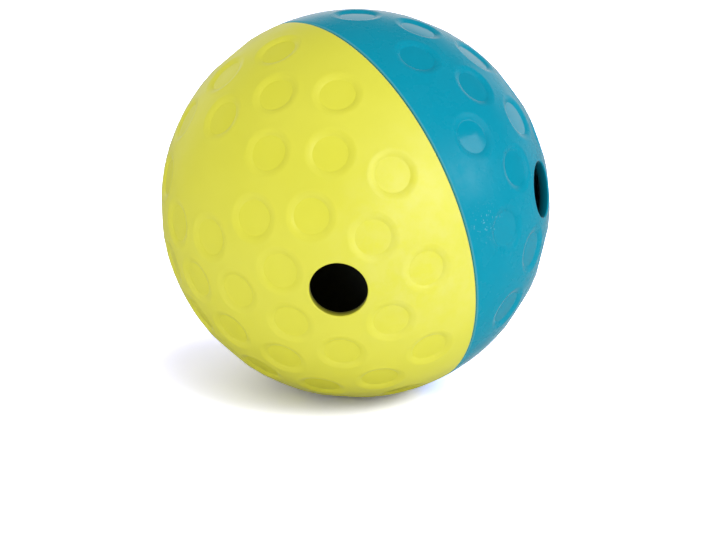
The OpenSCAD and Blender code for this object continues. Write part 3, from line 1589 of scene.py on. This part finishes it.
@dataclass(frozen=True)
class Lamp:
    """One soft lamp of the studio.

    Attributes:
        name: Name of the lamp.
        azimuth: Where it stands round the ball, in degrees, as the camera's azimuth is given.
        elevation: Its height above the horizon, in degrees.
        size: Width and height of its face.
        power: Its power in watts.
        mirrored: Whether polished plastic mirrors it.
        distance: Its distance from the ball's centre.
        for_floor: Whether it lights only the floor, where the ball still shades it.
    """

    name: str
    azimuth: float
    elevation: float
    size: tuple[float, float]
    power: float
    mirrored: bool = True
    distance: float = 1.3
    for_floor: bool = False

    def build(self, floor: bpy.types.Collection) -> bpy.types.Object:
        """Hangs the lamp so that it faces the ball.

        Args:
            floor: The collection that holds the floor alone.

        Returns:
            The lamp.
        """
        light = bpy.data.lights.new(self.name, "AREA")
        light.shape = "RECTANGLE"
        light.size, light.size_y = self.size
        light.energy = self.power
        lamp = bpy.data.objects.new(self.name, light)
        towards = Vector(from_the_horizon(self.azimuth, self.elevation))
        lamp.location = towards * self.distance
        lamp.rotation_mode = "QUATERNION"
        lamp.rotation_quaternion = (-towards).to_track_quat("-Z", "Y")
        lamp.visible_camera = False
        lamp.visible_glossy = self.mirrored
        if self.for_floor:
            lamp.light_linking.receiver_collection = floor
        bpy.context.scene.collection.objects.link(lamp)
        return lamp


def from_the_horizon(azimuth: float, elevation: float) -> Place:
    """Gives the unit direction at an azimuth from -Y towards +X and an elevation."""
    a, e = math.radians(azimuth), math.radians(elevation)
    return (math.sin(a) * math.cos(e), -math.cos(a) * math.cos(e), math.sin(e))


@dataclass(frozen=True)
class Studio:
    """The pale floor, the soft lamps and the camera.

    Attributes:
        azimuth: The camera's azimuth, in degrees.
        elevation: The camera's elevation, in degrees.
        roll: How far the camera leans, in degrees.
        distance: Its distance along the view from the ball's centre.
        beside: How far right of that line it stands.
        above: How far above that line it stands.
        lens: Its focal length in millimetres.
        sensor: Width of its sensor in millimetres.
        floor_size: Length of the floor's sides.
        floor_tone: How much light the floor sends back to the ball.
        floor_mirrored: How much of it polished surfaces mirror.
        floor_seen: How much it sends to the camera, slightly cool.
        world_light: Light of the air on matt surfaces.
        room: Light that polished surfaces mirror from the room.
        sweep: Light that they mirror from the white sweep behind the ball.
        sweep_sides: Where the sweep begins and is full, as cosines from straight behind.
        sweep_top: Where it ends above the horizon, as sines of the elevation.
        lamps: The lamps.
    """

    azimuth: float = -34.94
    elevation: float = 17.24
    roll: float = 0.62
    distance: float = 1000.3 * MM
    beside: float = 0.84 * MM
    above: float = -21.39 * MM
    lens: float = 156.36
    sensor: float = 36.0
    floor_size: float = 2.8
    floor_tone: float = 0.5
    floor_mirrored: float = 0.12
    floor_seen: Colour = (1.5, 1.5, 1.96)
    world_light: float = 0.62
    room: float = 0.08
    sweep: float = 0.75
    sweep_sides: Span = (0.45, 0.85)
    sweep_top: Span = (0.5, 0.25)
    lamps: tuple[Lamp, ...] = (
        Lamp("key_box", 20.0, 22.0, (1.96, 0.74), 6.9),
        Lamp("front_fill", 0.0, 52.0, (1.2, 1.2), 4.2, mirrored=False),
        Lamp("left_bounce", -105.0, 10.0, (1.4, 0.3), 3.2, mirrored=False),
        Lamp("floor_box", 28.0, 56.0, (1.5, 1.5), 35.0, mirrored=False, for_floor=True),
    )

    def build(self) -> None:
        """Builds the floor, the light and the camera."""
        floor = self._floor()
        self._world()
        for lamp in self.lamps:
            lamp.build(floor)
        self._camera()
        bpy.context.scene.view_settings.view_transform = "Standard"

    def _floor(self) -> bpy.types.Collection:
        """Lays the pale floor under the ball.

        Returns:
            A collection that holds the floor alone.
        """
        half, level = self.floor_size / 2, CAD_BOX[0].z
        sides = ((-1, -1), (1, -1), (1, 1), (-1, 1))
        data = bpy.data.meshes.new("floor")
        data.from_pydata([(x * half, y * half, level) for x, y in sides], [], [(0, 1, 2, 3)])
        floor = bpy.data.objects.new("floor", data)
        bpy.context.scene.collection.objects.link(floor)
        data.materials.append(self._floor_material())
        alone = bpy.data.collections.new("floor_alone")
        alone.objects.link(floor)
        return alone

    def _floor_material(self) -> bpy.types.Material:
        """Gives the floor a white that the camera sees as white and that keeps shadows.

        Returns:
            The floor's material.
        """
        g = Graph(bpy.data.materials.new("pale_floor"))
        path = g.add("LightPath").outputs
        mirrored = g.maths("ADD", path["Is Glossy Ray"], path["Is Transmission Ray"])
        tone = g.blend(mirrored, (self.floor_tone,) * 3, (self.floor_mirrored,) * 3)
        tone = g.blend(path["Is Camera Ray"], tone, self.floor_seen)
        return g.shown(g.add("BsdfDiffuse", {"Color": tone}))

    def _world(self) -> None:
        """Surrounds the ball with soft light, white to the camera and behind the ball."""
        g = Graph(bpy.data.worlds.new("studio_air"))
        path = g.add("LightPath").outputs
        towards = g.add("TexCoord").outputs["Generated"]
        behind = from_the_horizon(self.azimuth + 180.0, 0.0)
        facing = g.add("VectorMath", {0: towards, 1: behind}, operation="DOT_PRODUCT")
        height = g.add("SeparateXYZ", {0: towards}).outputs["Z"]
        sides = g.ramp(facing.outputs["Value"], *self.sweep_sides)
        sweep = g.times(sides, g.ramp(height, *self.sweep_top))
        mirror = g.ramp(sweep, 0.0, 1.0, self.room, self.sweep)
        gloss = g.maths("ADD", path["Is Glossy Ray"], path["Is Transmission Ray"])
        light = g.add("Mix", {0: gloss, 2: self.world_light, 3: mirror}).outputs[0]
        strength = g.add("Mix", {0: path["Is Camera Ray"], 2: light, 3: 1.0}).outputs[0]
        air = g.add("Background", {"Strength": strength, "Color": (1.0, 1.0, 1.0, 1.0)})
        bpy.context.scene.world = g.shown(air)

    def _camera(self) -> None:
        """Stands the camera at the photograph's viewing angle."""
        back = np.array(from_the_horizon(self.azimuth, self.elevation))
        level = unit(np.cross(POLE, back))
        upright = np.cross(back, level)
        lean = math.radians(self.roll)
        right = math.cos(lean) * level + math.sin(lean) * upright
        up = np.cross(back, right)
        data = bpy.data.cameras.new("photo_camera")
        data.lens, data.sensor_width = self.lens, self.sensor
        camera = bpy.data.objects.new("photo_camera", data)
        turn = Matrix(np.column_stack([right, up, back]).tolist()).to_4x4()
        where = back * self.distance + right * self.beside + up * self.above
        camera.matrix_world = Matrix.Translation(Vector(where)) @ turn
        bpy.context.scene.collection.objects.link(camera)
        bpy.context.scene.camera = camera


# Its pale patch near the front is painted highlight where the key lamp's gloss falls.
LIME = ShellFinish(
    name="lime",
    colour=(0.775, 0.757, 0.048),
    shade=(0.755, 0.74, 0.041),
    highlight_and_dust_colour=(0.88, 0.88, 0.45),
    port_shade_colour=(0.05, 0.045, 0.0),
    highlight_patch=0.16,
    highlight_patch_reach=46 * MM,
    highlight_patch_at=(-8.6 * MM, -61.7 * MM, 4.5 * MM),
    specular=1.0,
    polished_specular=0.9,
    sheen=0.16,
    roughness=0.42,
    polished_roughness=0.36,
)
# Its pale patch is painted reflection of the key lamp, with pale dust specks beside it.
TEAL = ShellFinish(
    name="teal",
    colour=(0.0, 0.292, 0.422),
    shade=(0.0, 0.278, 0.408),
    highlight_and_dust_colour=(0.3, 0.62, 0.74),
    port_shade_colour=(0.0, 0.01, 0.015),
    highlight_patch=0.09,
    highlight_patch_at=(1.5 * MM, -57.8 * MM, 23.7 * MM),
    specks_at=(6.7 * MM, -61.6 * MM, 8.0 * MM),
    specular=0.15,
    polished_specular=0.5,
    sheen=0.65,
    sheen_roughness=0.2,
    roughness=0.27,
    polished_roughness=0.08,
)
CHARCOAL = MazeFinish(
    name="charcoal_plastic", colour=(0.02, 0.021, 0.023), rubbed=(0.06, 0.062, 0.066)
)


def main() -> None:
    logging.basicConfig(level=logging.INFO, format="%(name)s: %(message)s")
    place = BallFrame.from_record()
    shells = [
        HalfShell(Half.LIME, place, LIME).build(),
        HalfShell(Half.TEAL, place, TEAL).build(),
    ]
    maze = MazeCore(place, CHARCOAL).build()
    Studio().build()


if __name__ == "__main__":
    main()
